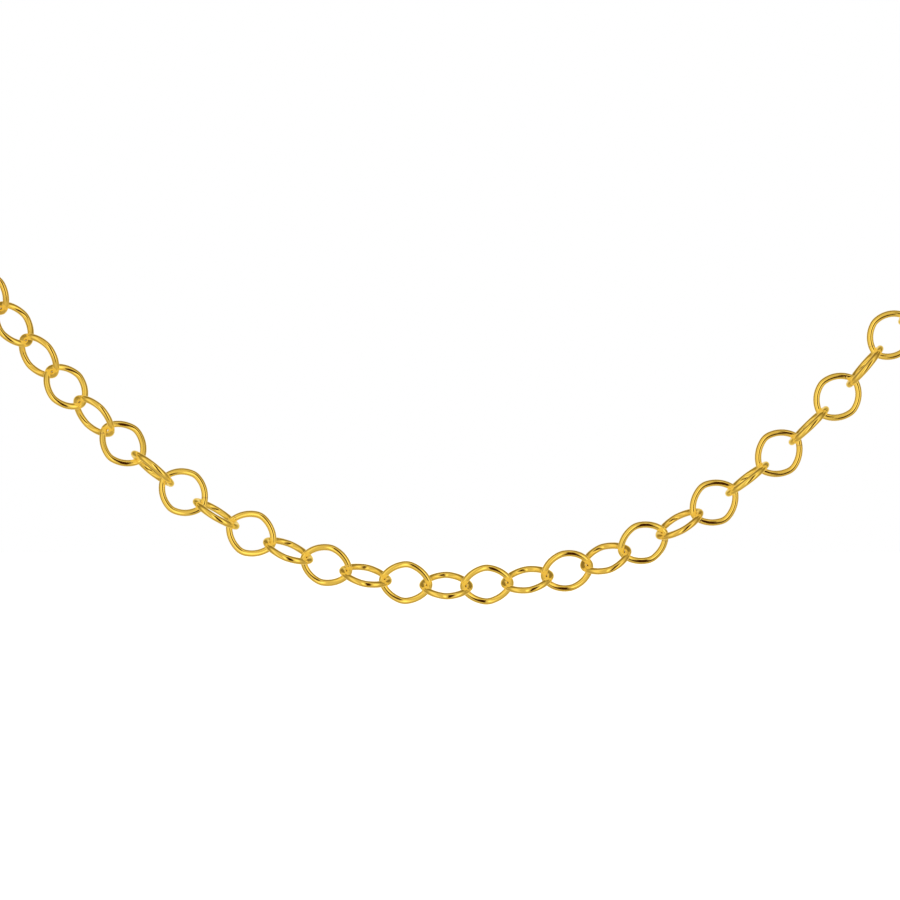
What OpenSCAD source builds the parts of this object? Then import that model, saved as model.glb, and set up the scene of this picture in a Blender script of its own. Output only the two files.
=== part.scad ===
// Rolo chain necklace in yellow gold. Equal wire links with softly pointed ends hang in one
// closed loop, each turned about a quarter turn against the next, and a plain ring clasp
// closes the loop at the nape.
// Millimetres, +Z up, front of the necklace toward -Y. The origin is the middle of the clasp,
// where the necklace lies on the back of the neck.

/* [Necklace] */
// Length of the whole closed necklace, which the links fill to the nearest four
necklace_len = 457; // [406:1:508]

/* [Link] */
// Diameter of the round wire
wire_d = 0.4; // [0.32:0.01:0.44]
// Outer width of a link across the chain
link_w = 3; // [2.8:0.05:3.3]
// Step from one link to the next along the drawn chain
link_pitch = 2.55; // [2.4:0.05:2.8]
// Radius of the wire's centreline in the two side bends
side_r = 0.9; // [0.8:0.05:1]
// Radius of the wire's centreline in the four long bends between tips and sides
flank_r = 1.8; // [1.7:0.05:2.4]

/* [Clasp] */
// Outer diameter of the clasp's ring
ring_d = 5.5; // [5:0.1:7]
// Thickness of the clasp's ring
ring_wire_d = 1.1; // [0.9:0.05:1.2]
// Outer diameter of the small eye soldered to the ring
eye_d = 2.4; // [2.3:0.05:3]
// Diameter of the eye's wire
eye_wire_d = 0.5; // [0.4:0.05:0.6]
// Diameter of the thumb nub on the ring
nub_d = 0.7; // [0.5:0.05:0.9]
// Height of the thumb nub over the ring
nub_h = 0.6; // [0.4:0.05:1]

/* [Fit] */
// Free gap between a wire and the tip bend it passes through
link_gap = 0.12; // [0.11:0.01:0.15]
// Extra radius of a tip bend over the tightest one that lets the next link lie in it
tip_play = 0.1; // [0.03:0.01:0.13]

/* [Drape] */
// Radius of the hanging curve at its lowest point, which sets the whole front drape
drape_r = 25.8; // [24:0.1:30]
// Half the width of the front drape that hangs in one upright plane
drape_half_w = 36.5; // [34:0.5:40]
// Reach of the side runs straight on from the front drape before they turn back
rise_reach = 75; // [65:1:85]

/* [Hidden] */
$fn = 24;

// One closed link, lying flat with its long way along X
link_len = link_pitch + wire_d + link_gap;
tip_r = wire_d + link_gap + tip_play;
// Wanted centres of the tip and side bends, and of the flank bend in the quarter of +X and +Y,
// which is tangent inside to both
tip_mid = [link_len / 2 - tip_r, 0];
side_mid = [0, (link_w - wire_d) / 2 - side_r];
tip_reach = flank_r - tip_r;
side_reach = flank_r - side_r;
centre_gap = norm(side_mid - tip_mid);
along = (tip_reach * tip_reach - side_reach * side_reach + centre_gap * centre_gap) / (2 * centre_gap);
across = sqrt(tip_reach * tip_reach - along * along);
toward_side = (side_mid - tip_mid) / centre_gap;
flank_mid = tip_mid + along * toward_side + across * [-toward_side[1], toward_side[0]];
// The bends meet at whole thousandths of a degree
DEGREE_PARTS = 1000;
function angle_of(way) = round(DEGREE_PARTS * atan2(way[1], way[0])) / DEGREE_PARTS;
tip_half_angle = angle_of(tip_mid - flank_mid);
side_start_angle = angle_of(side_mid - flank_mid);
// Centres at which the bends are drawn, so that they are tangent at just those angles
flank_at = [-side_reach * cos(side_start_angle), -tip_reach * sin(tip_half_angle)];
tip_at = [flank_at[0] + tip_reach * cos(tip_half_angle), 0];
side_at = [0, flank_at[1] + side_reach * sin(side_start_angle)];

// Where a crossing wire of diameter d rests, measured from the link's middle
function seat(d) =
    let (clear = (d + wire_d) / 2 + link_gap)
    clear <= tip_r
        ? tip_at[0] + tip_r - clear
        : flank_at[0] + sqrt(pow(flank_r - clear, 2) - pow(flank_at[1], 2));

// Clasp sizes on its centreline, with the ring's middle as zero and the eye toward +X
ring_r = (ring_d - ring_wire_d) / 2;
eye_r = (eye_d - eye_wire_d) / 2;
eye_x = ring_d / 2 + eye_r;
clasp_span = ring_r + eye_x + eye_r;

// Links that show in the front drape, read one by one:
// place counted from the lowest link, turn in degrees away from the quarter-turn pattern,
// and slack as a share of link_pitch
PLACE = 0;
TURN = 1;
SLACK = 2;
front_links = [
    [-30, 0, 0],
    [-20, -38, 0],
    [-13, -48, 0],
    [-12, -41, 0],
    [-11, -37, 0],
    [-10, -32, 0],
    [-9, -27, 0.04],
    [-8, -10, 0.05],
    [-7, -5, 0.05],
    [-6, 9, 0.02],
    [-5, 13, 0],
    [-4, 19, 0],
    [-3, 30, 0],
    [-2, 22, 0],
    [-1, 27, 0],
    [0, 30, 0],
    [1, 35, 0],
    [2, 29, 0],
    [3, 32, 0],
    [4, 34, 0],
    [5, 28, 0],
    [6, 19, 0],
    [7, 14, 0],
    [8, 5, 0],
    [9, 9, 0],
    [10, 3, 0],
    [11, 7, 0],
    [12, 4, 0],
    [13, 5, 0],
    [30, 0, 0],
];
turns = [for (row = front_links) [row[PLACE], row[TURN]]];
slacks = [for (row = front_links) [row[PLACE], row[SLACK]]];
// The lowest link's middle lies this share of link_pitch before the lowest point
low_link_shift = 0.25;

// Whole links on each side of the lowest one, an even number, so that both end links stand
// edge-on to the clasp
side_links = 2 * round((necklace_len - clasp_span - link_pitch) / link_pitch / 4);
half_pitch = link_pitch / 2;
places = [for (place = [-side_links : side_links]) place];

// Length that a link adds before and after its middle
function reach_before(place) =
    place == -side_links
        ? seat(ring_wire_d)
        : half_pitch * (1 - lookup(place, slacks));
function reach_after(place) =
    place == side_links
        ? seat(eye_wire_d)
        : half_pitch * (1 - lookup(place, slacks));
steps = [for (place = places) reach_before(place) + reach_after(place)];
function sum(list, from, to) =
    from >= to ? 0 : list[from] + sum(list, from + 1, to);
chain_len = sum(steps, 0, len(steps));
loop_len = chain_len + clasp_span;
before_low = sum(steps, 0, side_links);
first_s = -before_low - (0.5 + low_link_shift) * steps[side_links];
joint_s = [for (i = 0, s = first_s; i <= len(steps); s = s + steps[min(i, len(steps) - 1)], i = i + 1) s];

// Route of one side, seen from the lowest point of the front drape: a hanging curve up to
// drape_half_w, then one smooth bend that runs back and round to the nape
drape_end_s = drape_r * (exp(drape_half_w / drape_r) - exp(-drape_half_w / drape_r)) / 2;
function drape_point(s) =
    [
        drape_r * ln(s / drape_r + sqrt(pow(s / drape_r, 2) + 1)),
        0,
        sqrt(drape_r * drape_r + s * s) - drape_r,
    ];
drape_end = drape_point(drape_end_s);
drape_end_way = [drape_r, 0, drape_end_s] / norm([drape_r, drape_end_s]);
// Points that draw the run to the nape, chosen for a neck about 120 wide: the last bend's
// handle and the nape itself, as X, Y and Z from the lowest point
nape_route = [
    [70, 118, 115],
    [0, 118, 115],
];
function side_points(stretch) =
    [
        drape_end,
        drape_end + rise_reach * drape_end_way,
        [nape_route[0][0], stretch * nape_route[0][1], stretch * nape_route[0][2]],
        [nape_route[1][0], stretch * nape_route[1][1], stretch * nape_route[1][2]],
    ];
function bezier(p, t) =
    pow(1 - t, 3) * p[0] + 3 * pow(1 - t, 2) * t * p[1] + 3 * (1 - t) * t * t * p[2] + pow(t, 3) * p[3];
SIDE_STEPS = 80;
function side_marks(p) = [for (i = [0 : SIDE_STEPS]) bezier(p, i / SIDE_STEPS)];
// Running length against the bend's own parameter
function side_table(p) =
    let (marks = side_marks(p))
    [
        for (i = 0, s = 0; i <= SIDE_STEPS;
            s = s + (i < SIDE_STEPS ? norm(marks[i + 1] - marks[i]) : 0), i = i + 1)
            [s, i / SIDE_STEPS]
    ];
function side_len(stretch) = side_table(side_points(stretch))[SIDE_STEPS][0];
// Stretch of the run to the nape that gives the loop its length, found by halving
function closing_stretch(low, high, tries) =
    let (mid = (low + high) / 2)
    tries == 0
        ? mid
        : side_len(mid) < loop_len / 2 - drape_end_s
            ? closing_stretch(mid, high, tries - 1)
            : closing_stretch(low, mid, tries - 1);
nape_points = side_points(closing_stretch(0.5, 1.8, 30));
nape_table = side_table(nape_points);
nape = nape_points[3];

function right_route(s) =
    s <= drape_end_s
        ? drape_point(s)
        : bezier(nape_points, lookup(s - drape_end_s, nape_table));
function route(s) =
    let (p = right_route(abs(s)))
    [(s < 0 ? -1 : 1) * p[0], p[1], p[2]] - nape;

// Frame of a piece that runs from a to b, rolled about that line. At no roll its flat side
// faces out of the loop and its width points up.
function frame(at, a, b, roll) =
    let (
        ahead = (b - a) / norm(b - a),
        out = cross(ahead, [0, 0, 1]) / norm(cross(ahead, [0, 0, 1])),
        up = cross(out, ahead),
        wide = cos(roll) * up + sin(roll) * out,
        face = cross(ahead, wide)
    )
    [
        [ahead[0], wide[0], face[0], at[0]],
        [ahead[1], wide[1], face[1], at[1]],
        [ahead[2], wide[2], face[2], at[2]],
        [0, 0, 0, 1],
    ];

// A move is written down with six digits only, and the bends of a link have to meet exactly.
// So a bend goes to its place by a coarse move, a fine one and one more for the rest.
COARSE_STEP = 1e-5;
FINE_STEP = 1e-11;
function on_step(move, step) = [for (part = move) round(part / step) * step];

// A bend of the wire round a point of the link's own plane
module bend(at, r, from, to) {
    coarse = on_step(at, COARSE_STEP);
    fine = on_step(at - coarse, FINE_STEP);
    translate(coarse)
        translate(fine)
            translate(at - coarse - fine)
                rotate_extrude(angle = to - from, start = from)
                    translate([r, 0])
                        circle(d = wire_d);
}

// Half of a link in its place: one tip bend, the flank bends on both sides of it and a side bend
module half_link(place_frame) {
    multmatrix(place_frame) bend(tip_at, tip_r, -tip_half_angle, tip_half_angle);
    multmatrix(place_frame) bend(flank_at, flank_r, tip_half_angle, side_start_angle);
    multmatrix(place_frame) bend(side_at, side_r, side_start_angle, 180 - side_start_angle);
    multmatrix(place_frame) mirror([0, 1, 0]) bend(flank_at, flank_r, tip_half_angle, side_start_angle);
}

HALF_TURN = [[-1, 0, 0, 0], [0, -1, 0, 0], [0, 0, 1, 0], [0, 0, 0, 1]];

// One closed link in its place, soldered out of two equal halves
module link(place_frame) {
    half_link(place_frame);
    half_link(place_frame * HALF_TURN);
}

module run_of_links(from, to) {
    color("gold")
        for (place = [from : to]) {
            i = place + side_links;
            a = route(joint_s[i]);
            b = route(joint_s[i + 1]);
            middle = a + (b - a) * reach_before(place) / steps[i];
            edge_on = place % 2 == 0 ? 90 : 0;
            link(frame(middle, a, b, edge_on + lookup(place, turns)));
        }
}

// Links from the clasp's ring down to the one before the lowest, on the side of -X
module chain_left() {
    run_of_links(-side_links, -1);
}

// Links from the lowest one up to the clasp's eye, on the side of +X
module chain_right() {
    run_of_links(0, side_links);
}

// A ring with a soldered eye and a thumb nub, one piece
module clasp() {
    ring_side = route(joint_s[0]);
    eye_side = route(joint_s[len(steps)]);
    ring_middle = eye_side + (ring_side - eye_side) * (clasp_span - ring_r) / clasp_span;
    color("gold")
        multmatrix(frame(ring_middle, ring_side, eye_side, 0)) {
            rotate_extrude() translate([ring_r, 0]) circle(d = ring_wire_d);
            translate([eye_x, 0, 0]) rotate_extrude() translate([eye_r, 0]) circle(d = eye_wire_d);
            translate([0, ring_r, 0]) rotate([-90, 0, 0]) cylinder(d = nub_d, h = ring_wire_d / 2 + nub_h);
        }
}

chain_left();
chain_right();
clasp();
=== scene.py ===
# %% [markdown]
# # A rolo chain necklace in polished yellow gold
# The necklace is one closed loop of small wire links. It hangs from the nape of a neck, and the
# picture shows its front drape close up. The solids already hold the size and place of every
# link. This lesson keeps those places and gives the links what a jeweller would look for:
# round wire, small differences from link to link, solder seams, and polished gold that mirrors
# a light tent.

# %% Load the frame
import math
import bpy
import numpy as np
from mathutils import Matrix, Vector


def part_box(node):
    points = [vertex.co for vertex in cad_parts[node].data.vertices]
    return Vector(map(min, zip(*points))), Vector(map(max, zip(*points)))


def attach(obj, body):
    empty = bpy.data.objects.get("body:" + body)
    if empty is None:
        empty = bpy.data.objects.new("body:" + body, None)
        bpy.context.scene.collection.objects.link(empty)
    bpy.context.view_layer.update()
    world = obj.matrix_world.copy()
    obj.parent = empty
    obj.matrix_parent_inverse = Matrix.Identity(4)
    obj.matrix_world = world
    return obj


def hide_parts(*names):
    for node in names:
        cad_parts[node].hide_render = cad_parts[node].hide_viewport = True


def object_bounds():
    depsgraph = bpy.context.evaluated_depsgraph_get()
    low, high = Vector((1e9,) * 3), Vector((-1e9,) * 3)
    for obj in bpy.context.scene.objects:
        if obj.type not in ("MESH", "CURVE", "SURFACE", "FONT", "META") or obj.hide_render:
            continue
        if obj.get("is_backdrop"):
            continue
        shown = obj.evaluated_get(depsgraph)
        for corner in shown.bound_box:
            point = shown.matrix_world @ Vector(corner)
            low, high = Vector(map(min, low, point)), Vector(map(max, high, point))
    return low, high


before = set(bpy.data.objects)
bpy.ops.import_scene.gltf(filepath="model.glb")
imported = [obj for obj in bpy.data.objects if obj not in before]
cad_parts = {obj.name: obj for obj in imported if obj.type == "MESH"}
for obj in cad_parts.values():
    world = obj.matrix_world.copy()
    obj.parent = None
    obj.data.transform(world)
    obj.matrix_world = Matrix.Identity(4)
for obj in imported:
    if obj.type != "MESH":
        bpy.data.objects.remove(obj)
solid_low, solid_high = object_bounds()
MM = 0.001
solid_size = [round((high - low) / MM, 1) for low, high in zip(solid_low, solid_high)]
print("The solids fill", solid_size, "mm")

# %% [markdown]
# ## Which points make one link
# Each half of the chain is one mesh of separate closed links. The frame has no list of them, so
# the lesson reads the links themselves. Blender could separate the mesh into loose parts, but
# that would make an object of every link. Points that share an edge belong to the same link, so
# handing the lowest number along the edges until nothing changes marks each link just as well.

# %% Group a mesh into its loose parts
SAME_POINT = 1e-7


def loose_parts(node):
    """The points of each loose part of a CAD node, as a list of arrays."""
    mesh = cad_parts[node].data
    points = np.zeros(len(mesh.vertices) * 3)
    mesh.vertices.foreach_get("co", points)
    points = points.reshape(-1, 3)
    edges = np.zeros(len(mesh.edges) * 2, int)
    mesh.edges.foreach_get("vertices", edges)
    _, welded = np.unique(np.round(points / SAME_POINT), axis=0, return_inverse=True)
    ends = welded.ravel()[edges].reshape(-1, 2)
    label = np.arange(welded.max() + 1)
    while True:
        lowest = label[ends].min(axis=1)
        spread = label.copy()
        np.minimum.at(spread, ends[:, 0], lowest)
        np.minimum.at(spread, ends[:, 1], lowest)
        spread = spread[spread]
        if np.array_equal(spread, label):
            break
        label = spread
    part = label[welded.ravel()]
    return [points[part == name] for name in np.unique(part)]


CHAINS = ["chain_left", "chain_right"]
link_clouds = {chain: loose_parts(chain) for chain in CHAINS}
print("Loose parts:", {chain: len(clouds) for chain, clouds in link_clouds.items()})

# %% [markdown]
# ## Where each link lies
# The mean of a link's points is its middle. A link is longer than wide and much wider than
# thick, so the ways in which its points spread most, less and least are its own three axes. An
# empty could be placed on each link by hand, but there are far too many, and this way they
# follow the solids when a size changes.

# %% Read each link's middle, axes and size
def link_places(clouds):
    """A 3 x 4 array for each link: its long way, wide way, flat side and middle."""
    places, sizes = [], []
    for points in clouds:
        middle = points.mean(0)
        long_way, wide_way, flat_side = np.linalg.svd(points - middle, full_matrices=False)[2]
        wide_way = np.cross(flat_side, long_way)
        places.append(np.column_stack([long_way, wide_way, flat_side, middle]))
        local = (points - middle) @ places[-1][:, :3]
        sizes.append(np.ptp(local, axis=0))
    return np.array(places), np.median(sizes, axis=0)


places = {}
for chain in CHAINS:
    places[chain], link_size = link_places(link_clouds[chain])
    print(chain, "has", len(places[chain]), "links of", (link_size / MM).round(2), "mm")
link_length, link_width, wire_thick = link_size
every_place = np.concatenate([places[chain] for chain in CHAINS])
low_link = Vector(every_place[every_place[:, 2, 3].argmin(), :, 3])
print("The lowest link's middle is at", [round(x / MM, 2) for x in low_link], "mm")

# %% [markdown]
# ## The camera
# The picture was taken level and from straight in front, close enough that one millimetre of
# chain covers almost sixteen pixels. A long lens could stand near or far. This one stands half
# a metre off, like a product photographer's, so that the back of the loop stays above the edge
# of the picture, and the lens follows from the size of one millimetre.

# %% Aim the camera at the front drape
PICTURE = 900
PX_PER_MM = 15.98
LOW_LINK_PX = (446.2, 585.6)
CAMERA_BACK = 0.5
SENSOR = 36

camera_data = bpy.data.cameras.new("camera")
camera_data.sensor_width = SENSOR
camera_data.lens = SENSOR * CAMERA_BACK / (PICTURE / PX_PER_MM * MM)
camera = bpy.data.objects.new("camera", camera_data)
bpy.context.scene.collection.objects.link(camera)
bpy.context.scene.camera = camera
aim = low_link + Vector((
    (PICTURE / 2 - LOW_LINK_PX[0]) / PX_PER_MM * MM,
    0,
    (LOW_LINK_PX[1] - PICTURE / 2) / PX_PER_MM * MM,
))
camera.location = aim - Vector((0, CAMERA_BACK, 0))
camera.rotation_euler = (math.radians(90), 0, 0)
print("The lens is", round(camera_data.lens), "mm")
print("The picture is", round(PICTURE / PX_PER_MM, 1), "mm wide")

# %% [markdown]
# ## Building with nodes
# Every finish here is a tree of shader nodes. They could be laid out by hand in the editor, but
# a helper that adds one node, sets its inputs and joins those that come from another node lets
# each tree be read from top to bottom. Three more helpers cover what comes up most: a sum, a
# ramp from 0 to 1, and one colour laid over another.

# %% Helpers for node trees
def add(tree, kind, settings=None, **inputs):
    """A new node. An input is named with _ for a space, or in_ and its number, and takes a
    value or another node's output."""
    made = tree.nodes.new(kind)
    for name, value in (settings or {}).items():
        setattr(made, name, value)
    for name, value in inputs.items():
        key = int(name[3:]) if name.startswith("in_") else name.replace("_", " ")
        if isinstance(value, bpy.types.NodeSocket):
            tree.links.new(value, made.inputs[key])
        else:
            made.inputs[key].default_value = value
    return made


def math_node(tree, operation, *values):
    """The result of one sum of values or other nodes' outputs."""
    numbered = {f"in_{place}": value for place, value in enumerate(values)}
    return add(tree, "ShaderNodeMath", {"operation": operation}, **numbered).outputs[0]


def ramp(tree, value, start, end, kind="SMOOTHSTEP"):
    """A number from 0, where the value is at the start, to 1 at the end."""
    return add(
        tree, "ShaderNodeMapRange", {"interpolation_type": kind},
        Value=value, From_Min=start, From_Max=end,
    ).outputs["Result"]


def laid_over(tree, under, mask, over):
    """A colour with another one over it where the mask is 1. A Mix node keeps its two colours
    in inputs 6 and 7, and the mixed one in output 2."""
    settings = {"data_type": "RGBA"}
    return add(tree, "ShaderNodeMix", settings, Factor=mask, in_6=under, in_7=over).outputs[2]


# %% [markdown]
# ## Directions in the light tent
# Polished metal shows nothing but what stands around it, so the surroundings are half of the
# finish. Jewellers shoot in a half tent of pale cloth round the lens. Lamps and cards could
# build one, but a world that is bright or dark by direction does the same without noise. Each
# direction is named by how far it lies off the lens, how far it is turned to the right of it,
# and how far it rises. With these, a patch of cloth can be given any place.

# %% Find the direction on the tent
EDGE_ABOVE = 2

world = bpy.data.worlds.new("light_tent")
bpy.context.scene.world = world
world.use_nodes = True
tent = world.node_tree
tent.nodes.clear()
seen_way = add(tent, "ShaderNodeTexCoord").outputs["Generated"]
way = add(tent, "ShaderNodeSeparateXYZ", Vector=seen_way).outputs
to_lens = math_node(tent, "MULTIPLY", way["Y"], -1.0)
off_lens = math_node(tent, "ARCCOSINE", to_lens)
turn = math_node(tent, "ARCTAN2", way["X"], to_lens)
rise = math_node(tent, "ARCSINE", way["Z"])


def step(angle, start, end):
    """A soft step from 0 to 1 while the angle goes from the start to the end, in degrees."""
    return ramp(tent, angle, math.radians(start), math.radians(end))


def away_from(angle, middle):
    """How far the angle is from a middle, which is given in degrees."""
    return math_node(tent, "ABSOLUTE", math_node(tent, "SUBTRACT", angle, math.radians(middle)))


def patch(turn_middle, turn_half, rise_middle, rise_half, edge):
    """A mask of an upright patch of directions, in degrees, softer above and below."""
    high_edge = EDGE_ABOVE * edge
    return math_node(
        tent, "MULTIPLY",
        step(away_from(turn, turn_middle), turn_half + edge, turn_half - edge),
        step(away_from(rise, rise_middle), rise_half + high_edge, rise_half - high_edge),
    )


print("A direction takes", len(tent.nodes), "nodes")

# %% [markdown]
# ## Cloth, room and sheet
# The cloth curves round the lens, a white sheet hangs behind the piece, and between the two the
# room shows, dim above and lighter at the table. On round wire the room becomes a fine darker
# line inside either rim. Lamps behind the cloth, a lit edge of cloth left of the lens and an
# upright gap right of it draw the bright and dark streaks. Light passed on from link to link
# has lost its picture of the tent, so a ray that was mirrored more than once sees an even glow.
# The camera sees plain white.

# %% Hang the cloth and the sheet
CEILING = (0.30, 0.25, 0.15, 1)
TABLE = (0.56, 0.50, 0.38, 1)
CLOTH = (0.76, 0.71, 0.57, 1)
GAP = (0.05, 0.014, 0.001, 1)
SHEET = (0.9, 0.9, 0.9, 1)
PASSED_ON = (0.95, 0.90, 0.75, 1)
WHITE = (1, 1, 1, 1)
LAMPS = {
    "left": ((-56, 12, 0, 45, 8), (1.10, 1.06, 0.92, 1)),
    "right": ((56, 9, -6, 26, 6), (1.45, 1.40, 1.22, 1)),
    "high": ((36, 9, 46, 10, 6), (1.25, 1.20, 1.05, 1)),
    "lit edge": ((-8, 9, -14, 30, 5), (1.55, 1.50, 1.30, 1)),
}
GAP_PLACE = (26, 13, -8, 46, 3)
TABLE_TO_CEILING = (-50, 40)
ROOM_TO_CLOTH = (90, 64)
ROOM_TO_SHEET = (116, 148)
MIRRORED_TWICE = 2.5

cloth = CLOTH
for place, colour in LAMPS.values():
    cloth = laid_over(tent, cloth, patch(*place), colour)
cloth = laid_over(tent, cloth, patch(*GAP_PLACE), GAP)
room = laid_over(tent, TABLE, step(rise, *TABLE_TO_CEILING), CEILING)
tented = laid_over(tent, room, step(off_lens, *ROOM_TO_CLOTH), cloth)
tented = laid_over(tent, tented, step(off_lens, *ROOM_TO_SHEET), SHEET)
path = add(tent, "ShaderNodeLightPath").outputs
passed_on = math_node(tent, "GREATER_THAN", path["Ray Depth"], MIRRORED_TWICE)
mirrored_tent = laid_over(tent, tented, passed_on, PASSED_ON)
lit = laid_over(tent, mirrored_tent, path["Is Camera Ray"], WHITE)
background = add(tent, "ShaderNodeBackground", Color=lit, Strength=1.0)
add(tent, "ShaderNodeOutputWorld", Surface=background.outputs[0])
bpy.context.scene.view_settings.view_transform = "Standard"
print("The tent has", len(tent.nodes), "nodes")

# %% [markdown]
# ## The floor
# The piece hangs free, so the floor only has to be pale and calm, some way below the lowest
# link. A bare plane under such soft light would turn grey towards the horizon, so it glows a
# little and meets the white of the tent without a line.

# %% Lay the floor
FLOOR_DROP = 0.05
FLOOR_SIDE = 8
PAPER = (0.6, 0.6, 0.6, 1)
PAPER_GLOW = 0.85

bpy.ops.mesh.primitive_plane_add(size=FLOOR_SIDE, location=(0, 0, solid_low[2] - FLOOR_DROP))
floor = bpy.context.object
floor.name = "floor"
floor.visible_glossy = False
paper = bpy.data.materials.new("pale_paper")
paper.use_nodes = True
paper_shader = paper.node_tree.nodes["Principled BSDF"].inputs
paper_shader["Base Color"].default_value = PAPER
paper_shader["Roughness"].default_value = 1
paper_shader["Emission Color"].default_value = WHITE
paper_shader["Emission Strength"].default_value = PAPER_GLOW
floor.data.materials.append(paper)
floor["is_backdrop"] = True
print("The floor lies", round(FLOOR_DROP / MM), "mm below the lowest link")

# %% [markdown]
# ## Marks that polishing leaves
# Gold wire is drawn, bent by hand and tumbled bright. What stays is a soft waviness that bends
# reflections, and fine scratches that blur them. They could be painted as an image, but noise
# in the metal's own space shows no joins and can have any size. Both golds here need these
# marks, so they are one node group. It gives a height in metres for the bump, and a mask of the
# duller spots.

# %% The polish group
MICRON = 1e-6
WAVE_DETAIL = 1.0
SCRATCH_DETAIL = 3.0
SCRATCHED = (0.45, 0.7)

polish = bpy.data.node_groups.new("polish", "ShaderNodeTree")
for name, value in [
    ("Wave Size mm", 0.8),
    ("Wave Height um", 3.0),
    ("Scratch Size mm", 0.05),
    ("Scratch Height um", 0.1),
]:
    asked_for = polish.interface.new_socket(name, in_out="INPUT", socket_type="NodeSocketFloat")
    asked_for.default_value = value
for name in ["Height", "Dull"]:
    polish.interface.new_socket(name, in_out="OUTPUT", socket_type="NodeSocketFloat")
asked = add(polish, "NodeGroupInput").outputs
place_mm = add(
    polish, "ShaderNodeVectorMath", {"operation": "SCALE"},
    in_0=add(polish, "ShaderNodeTexCoord").outputs["Object"], Scale=1 / MM,
).outputs["Vector"]


def noise_of_size(size, detail):
    """Noise with lumps of about that size in mm."""
    scale = math_node(polish, "DIVIDE", 1.0, size)
    made = add(polish, "ShaderNodeTexNoise", Vector=place_mm, Scale=scale, Detail=detail)
    return made.outputs["Fac"]


waves = noise_of_size(asked["Wave Size mm"], WAVE_DETAIL)
scratches = noise_of_size(asked["Scratch Size mm"], SCRATCH_DETAIL)
wave_um = math_node(polish, "MULTIPLY", waves, asked["Wave Height um"])
scratch_um = math_node(polish, "MULTIPLY", scratches, asked["Scratch Height um"])
height_um = math_node(polish, "ADD", wave_um, scratch_um)
height_m = math_node(polish, "MULTIPLY", height_um, MICRON)
dull = ramp(polish, scratches, *SCRATCHED, kind="LINEAR")
add(polish, "NodeGroupOutput", Height=height_m, Dull=dull)
print("The polish group has", len(polish.nodes), "nodes")

# %% [markdown]
# ## What makes a surface gold
# Gold is a metal, so its colour sits in its reflections. At a glancing angle any metal mirrors
# nearly white, but in the picture the rims of the wire stay yellow, and an edge tint keeps
# them so. Gold that mirrors gold tints light twice and would turn the joints orange. In a real
# chain much white light is scattered in there, so gold that is seen in another mirror is given
# a paler colour. Both golds end this way, so one helper joins tone, dull spots and bumps to a
# material's shader.

# %% A helper that finishes a gold
CLEAR_GOLD = (0.955, 0.665, 0.13, 1)
ROSY_GOLD = (0.90, 0.575, 0.11, 1)
RIM_TINT = (1, 0.92, 0.65, 1)
MIRRORED_GOLD = (0.98, 0.92, 0.72, 1)
DULL_ADDS = 0.06


def finish_gold(tree, tone, dull_spots, polished, height):
    """Joins a gold's tone, the roughness of its bright and dull spots, and its bumps."""
    shader = tree.nodes["Principled BSDF"].inputs
    shader["Metallic"].default_value = 1
    shader["Specular Tint"].default_value = RIM_TINT
    mirrored = add(tree, "ShaderNodeLightPath").outputs["Is Glossy Ray"]
    tree.links.new(laid_over(tree, tone, mirrored, MIRRORED_GOLD), shader["Base Color"])
    rough = math_node(tree, "MULTIPLY_ADD", dull_spots, DULL_ADDS, polished)
    tree.links.new(rough, shader["Roughness"])
    bump = add(tree, "ShaderNodeBump", Height=height, Distance=1.0, Strength=1.0)
    tree.links.new(bump.outputs["Normal"], shader["Normal"])


# %% [markdown]
# ## Gold for the links
# Real links are never quite alike. Each has its own tone, between a clear and a rosier yellow,
# and each was closed with solder at one spot. The tone could be drawn at random by the object,
# but a whole chain is one object, so each link carries its own number in an attribute. The
# seam is found by its place along the wire, which the mesh gives as a map.

# %% The link gold
SEAM_COLOUR = (0.62, 0.40, 0.14, 1)
SEAM_SHARE = 0.006
SEAM_STRENGTH = 0.7
SEAM_DEPTH = 4 * MICRON
LINK_POLISHED = 0.09
WIRE_MAP = "along_and_round"
TONE = "own_tone"
SEAM = "seam_at"

link_gold = bpy.data.materials.new("link_gold")
link_gold.use_nodes = True
gold = link_gold.node_tree
on_wire = add(gold, "ShaderNodeUVMap", {"uv_map": WIRE_MAP}).outputs["UV"]
along = add(gold, "ShaderNodeSeparateXYZ", Vector=on_wire).outputs["X"]
own_tone = add(gold, "ShaderNodeAttribute", {"attribute_name": TONE}).outputs["Fac"]
seam_at = add(gold, "ShaderNodeAttribute", {"attribute_name": SEAM}).outputs["Fac"]
seam_off = math_node(gold, "ABSOLUTE", math_node(gold, "SUBTRACT", along, seam_at))
seam = ramp(gold, seam_off, SEAM_SHARE, 0.0)
marks = add(
    gold, "ShaderNodeGroup", {"node_tree": polish}, Wave_Size_mm=0.7, Wave_Height_um=6.0,
    Scratch_Size_mm=0.04, Scratch_Height_um=0.25,
).outputs
tone = laid_over(gold, CLEAR_GOLD, own_tone, ROSY_GOLD)
seam_mask = math_node(gold, "MULTIPLY", seam, SEAM_STRENGTH)
soldered = laid_over(gold, tone, seam_mask, SEAM_COLOUR)
sunk = math_node(gold, "MULTIPLY", seam, SEAM_DEPTH)
height = math_node(gold, "SUBTRACT", marks["Height"], sunk)
finish_gold(gold, soldered, marks["Dull"], LINK_POLISHED, height)
print("The link gold has", len(gold.nodes), "nodes")

# %% [markdown]
# ## Gold for the clasp
# The clasp is thicker and plainer than a link, has no seam of its own that shows, and its
# longer waves suit its size. It could share the links' gold, but without a wire map it would
# count as seam all over. Where it was scratched dull, its yellow looks a little rosier.

# %% The clasp gold
CLASP_POLISHED = 0.10

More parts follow.
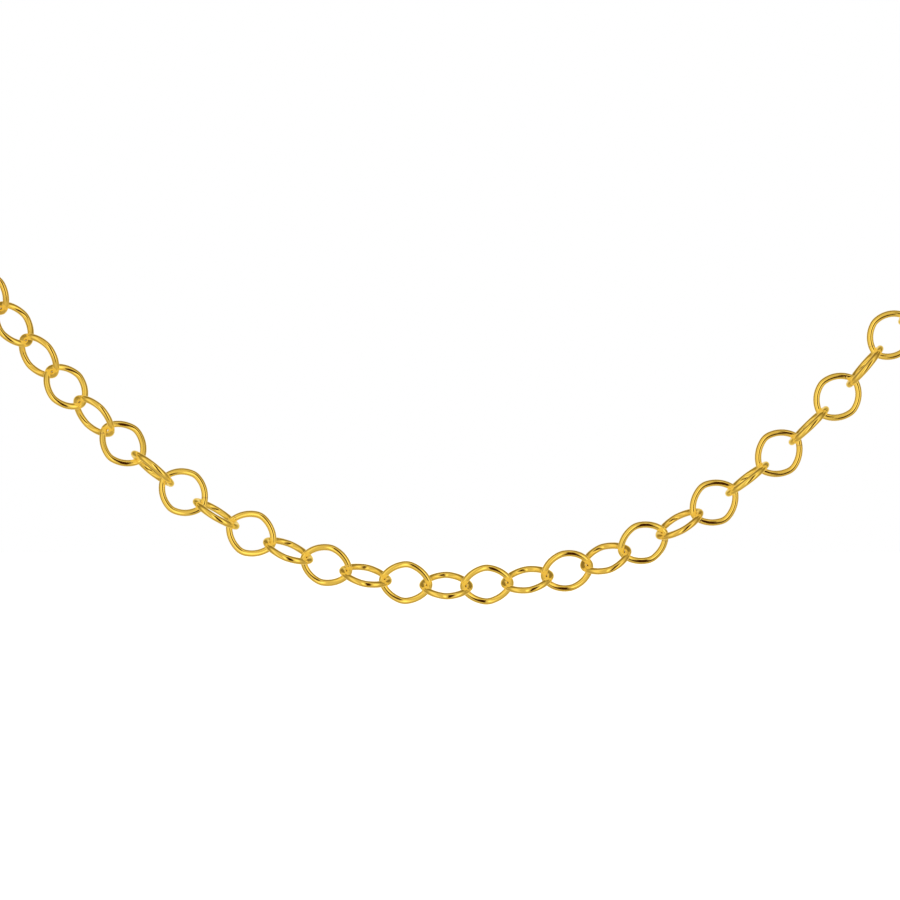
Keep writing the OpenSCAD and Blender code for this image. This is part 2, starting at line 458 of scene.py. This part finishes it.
clasp_gold = bpy.data.materials.new("clasp_gold")
clasp_gold.use_nodes = True
gold = clasp_gold.node_tree
marks = add(
    gold, "ShaderNodeGroup", {"node_tree": polish}, Wave_Size_mm=1.6, Wave_Height_um=5.0,
    Scratch_Size_mm=0.06, Scratch_Height_um=0.3,
).outputs
tone = laid_over(gold, CLEAR_GOLD, marks["Dull"], ROSY_GOLD)
finish_gold(gold, tone, marks["Dull"], CLASP_POLISHED, marks["Height"])
print("The clasp gold has", len(gold.nodes), "nodes")

# %% [markdown]
# ## The line of a link
# A rolo link starts as a ring and is pulled a little at two ends, so it has softly pointed tips
# and rounder sides. Its wire follows eight bends that flow into each other: a tight one at each
# tip, a wider one at each side, and four long ones between them. A curve object could hold
# them, but the bends are plain circles, so the point that faces a given way outward is found
# directly, and evenly turned points give even reflections. The solids keep a free gap in every
# joint so that each link stays its own, while real links rest on each other. Here each tip is
# drawn in by a twentieth of a millimetre, which lets the links all but touch. The wire is as
# thick as the picture measures it, a hundredth of a millimetre more than in the solids.

# %% Follow the wire of one link
TIP_CLOSES = 0.050 * MM
TIP_BEND = 0.60 * MM
SIDE_BEND = 0.9 * MM
LONG_BEND = 1.8 * MM
WIRE = 0.41 * MM
RINGS = 64
SIDES = 16


def link_line(long_bend):
    """Points on the centreline of a link, and the ways outward there, in its own plane."""
    half_length = (link_length - wire_thick) / 2 - TIP_CLOSES
    tip_x = half_length - TIP_BEND
    side_y = (link_width - wire_thick) / 2 - SIDE_BEND
    apart = math.hypot(tip_x, side_y)
    tip_reach = long_bend - TIP_BEND
    side_reach = long_bend - SIDE_BEND
    down = (tip_reach ** 2 - side_reach ** 2 + apart ** 2) / (2 * apart)
    across = math.sqrt(tip_reach ** 2 - down ** 2)
    long_x = tip_x - down * tip_x / apart - across * side_y / apart
    long_y = down * side_y / apart - across * tip_x / apart
    way = np.linspace(0, 2 * np.pi, RINGS, endpoint=False)
    out = np.column_stack([np.cos(way), np.sin(way)])
    slope = np.arctan2(abs(out[:, 1]), abs(out[:, 0]))[:, None]
    at_tip = slope < math.atan2(-long_y, tip_x - long_x)
    at_long = slope < math.atan2(side_y - long_y, -long_x)
    middle = np.where(at_tip, [tip_x, 0], np.where(at_long, [long_x, long_y], [0, side_y]))
    radius = np.where(at_tip, TIP_BEND, np.where(at_long, long_bend, SIDE_BEND))
    return np.sign(out) * middle + radius * out, out


line = link_line(LONG_BEND)[0]
wire_length = np.linalg.norm(np.roll(line, -1, 0) - line, axis=1).sum()
print("One link takes", round(wire_length / MM, 2), "mm of wire")

# %% [markdown]
# ## Links that were bent by hand
# Copies of one perfect link look machine-made, so each is bent a little differently: its long
# sides are fuller or flatter, it leans, it is slightly twisted out of its plane, and its wire
# swells and thins by a hundredth or so. The changes are so small that no link runs into the
# next: most keep a hundredth of a millimetre between them. A seeded generator makes the same
# chain each time.

# %% Wrap one link's wire
HAND = {"bend": 0.09, "lean": 0.010, "twist": 0.012 * MM, "swell": 0.012}
TWISTS = 2
SWELLS = 3


def link_points(rng):
    """The surface points of one hand-bent link, as RINGS x SIDES points in its own axes."""
    bend, lean, twist, swell = rng.uniform(-1, 1, 4) * list(HAND.values())
    start = rng.uniform(0, 2 * np.pi)
    line, out = link_line(LONG_BEND * (1 + bend))
    way = np.linspace(0, 2 * np.pi, RINGS, endpoint=False)
    line = line + np.column_stack([lean * line[:, 1], lean * line[:, 0]])
    lift = twist * np.sin(TWISTS * way + start)
    radius = WIRE / 2 * (1 + swell * np.sin(SWELLS * way + start))
    around = np.linspace(0, 2 * np.pi, SIDES, endpoint=False)
    flat = line[:, None, :] + (radius[:, None] * np.cos(around))[:, :, None] * out[:, None, :]
    height = lift[:, None] + radius[:, None] * np.sin(around)
    return np.concatenate([flat, height[:, :, None]], axis=2)


print("A link's skin has", RINGS * SIDES, "points")

# %% [markdown]
# ## One mesh for each half of the chain
# The links of a chain hang loose in each other, each with its soldered seam near a tip, where
# it shows least. An object for each link could hold them, but one mesh for each half is lighter
# and moves as the solids do. The mesh carries a map of the place along and round the wire, and
# two numbers for each link: most are of a clear tone and few are rosy.

# %% Join the links of a chain into one mesh
TIP_SEAMS = (0.09, 0.41, 0.59, 0.91)
TONE_SHAPE = (1.2, 3)
SEEDS = {"chain_left": 11, "chain_right": 23}


def wire_quads():
    """The corners of a link's faces, as point numbers and as places along and round the wire."""
    ring, side = np.meshgrid(np.arange(RINGS), np.arange(SIDES), indexing="ij")
    rings = np.stack([ring, ring + 1, ring + 1, ring], axis=2)
    sides = np.stack([side, side, side + 1, side + 1], axis=2)
    numbers = rings % RINGS * SIDES + sides % SIDES
    return numbers.reshape(-1, 4), np.stack([rings / RINGS, sides / SIDES], axis=3).ravel()


def build_chain(chain, rng):
    """One object that stands for a CAD chain, with each link where the frame holds it."""
    count = len(places[chain])
    points = np.concatenate([
        link_points(rng).reshape(-1, 3) @ place[:, :3].T + place[:, 3]
        for place in places[chain]
    ])
    numbers, on_wire = wire_quads()
    first_points = np.arange(count)[:, None, None] * RINGS * SIDES
    mesh = bpy.data.meshes.new(chain + "_links")
    mesh.from_pydata(points.tolist(), [], (numbers + first_points).reshape(-1, 4).tolist())
    mesh.uv_layers.new(name=WIRE_MAP).uv.foreach_set("vector", np.tile(on_wire, count))
    own_values = {TONE: rng.beta(*TONE_SHAPE, count), SEAM: rng.choice(TIP_SEAMS, count)}
    for name, values in own_values.items():
        own = mesh.attributes.new(name, "FLOAT", "POINT")
        own.data.foreach_set("value", np.repeat(values, RINGS * SIDES).astype(np.float32))
    mesh.shade_smooth()
    mesh.materials.append(link_gold)
    piece = bpy.data.objects.new(chain + "_links", mesh)
    bpy.context.scene.collection.objects.link(piece)
    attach(piece, "root")
    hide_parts(chain)
    return piece


for chain in CHAINS:
    piece = build_chain(chain, np.random.default_rng(SEEDS[chain]))
    print(piece.name, "has", len(piece.data.polygons) * 2, "triangles")

# %% [markdown]
# ## The clasp
# The clasp is out of sight at the nape: a thick ring with a small eye soldered to its rim and a
# nub for the thumb nail. Three touching shapes would show hard creases where they meet, while
# solder flows into a fillet. So the three are joined first.

# %% Set the clasp's three shapes together
RING_RADIUS = 2.2 * MM
RING_WIRE = 1.1 * MM
EYE_RADIUS = 0.95 * MM
EYE_WIRE = 0.5 * MM
NUB_WIDTH = 0.7 * MM
ROUND_THE_RING = 128
ROUND_THE_WIRE = 32
ROUND_THE_NUB = 48

clasp_low, clasp_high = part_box("clasp")
ring_out = RING_RADIUS + RING_WIRE / 2
ring_middle = Vector((
    clasp_low.x + ring_out,
    (clasp_low.y + clasp_high.y) / 2,
    clasp_low.z + ring_out,
))
eye_middle = ring_middle + Vector((ring_out + EYE_RADIUS, 0, 0))
facing = Matrix.Rotation(math.radians(90), 4, "X")


def torus(middle, radius, wire):
    """A ring of round wire that faces the front."""
    bpy.ops.mesh.primitive_torus_add(
        major_radius=radius, minor_radius=wire / 2,
        major_segments=ROUND_THE_RING, minor_segments=ROUND_THE_WIRE,
        location=middle, rotation=facing.to_euler(),
    )
    return bpy.context.object


parts = [torus(ring_middle, RING_RADIUS, RING_WIRE), torus(eye_middle, EYE_RADIUS, EYE_WIRE)]
nub_high = clasp_high.z - ring_middle.z - RING_RADIUS
bpy.ops.mesh.primitive_cylinder_add(
    radius=NUB_WIDTH / 2, depth=nub_high, vertices=ROUND_THE_NUB,
    location=ring_middle + Vector((0, 0, RING_RADIUS + nub_high / 2)),
)
parts.append(bpy.context.object)
for part in parts:
    part.select_set(True)
bpy.context.view_layer.objects.active = parts[0]
bpy.ops.object.join()
clasp = bpy.context.object
clasp.name = "clasp_ring"
bpy.ops.object.transform_apply(location=True, rotation=True, scale=True)
print("The nub stands", round((nub_high - RING_WIRE / 2) / MM, 2), "mm over the ring")

# %% [markdown]
# ## Let the solder flow
# The corners between the shapes could be bevelled one by one, but they aren't edges of one
# mesh yet. Remeshing makes one skin of all three, and smoothing it rounds the corners just as
# solder does.

# %% Melt the clasp into one skin
SKIN = 0.04 * MM
SMOOTHINGS = 8

skin = clasp.modifiers.new("skin", "REMESH")
skin.voxel_size = SKIN
flow = clasp.modifiers.new("solder flow", "SMOOTH")
flow.iterations = SMOOTHINGS
melted = clasp.evaluated_get(bpy.context.evaluated_depsgraph_get())
shape = bpy.data.meshes.new_from_object(melted)
clasp.modifiers.clear()
clasp.data = shape
shape.shade_smooth()
shape.materials.clear()
shape.materials.append(clasp_gold)
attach(clasp, "root")
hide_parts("clasp")
print("The clasp has", len(shape.polygons) * 2, "triangles")

# %% [markdown]
# ## The same size as the solids
# The shown necklace has to fill the space of the solids that it stands for, or it wouldn't fit
# where they do. Comparing by eye misses a tenth of a millimetre, so both boxes are measured and
# printed.

# %% Measure the shown necklace
shown_low, shown_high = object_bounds()
shown_size = [round((high - low) / MM, 2) for low, high in zip(shown_low, shown_high)]
print("The shown necklace fills", shown_size, "mm")
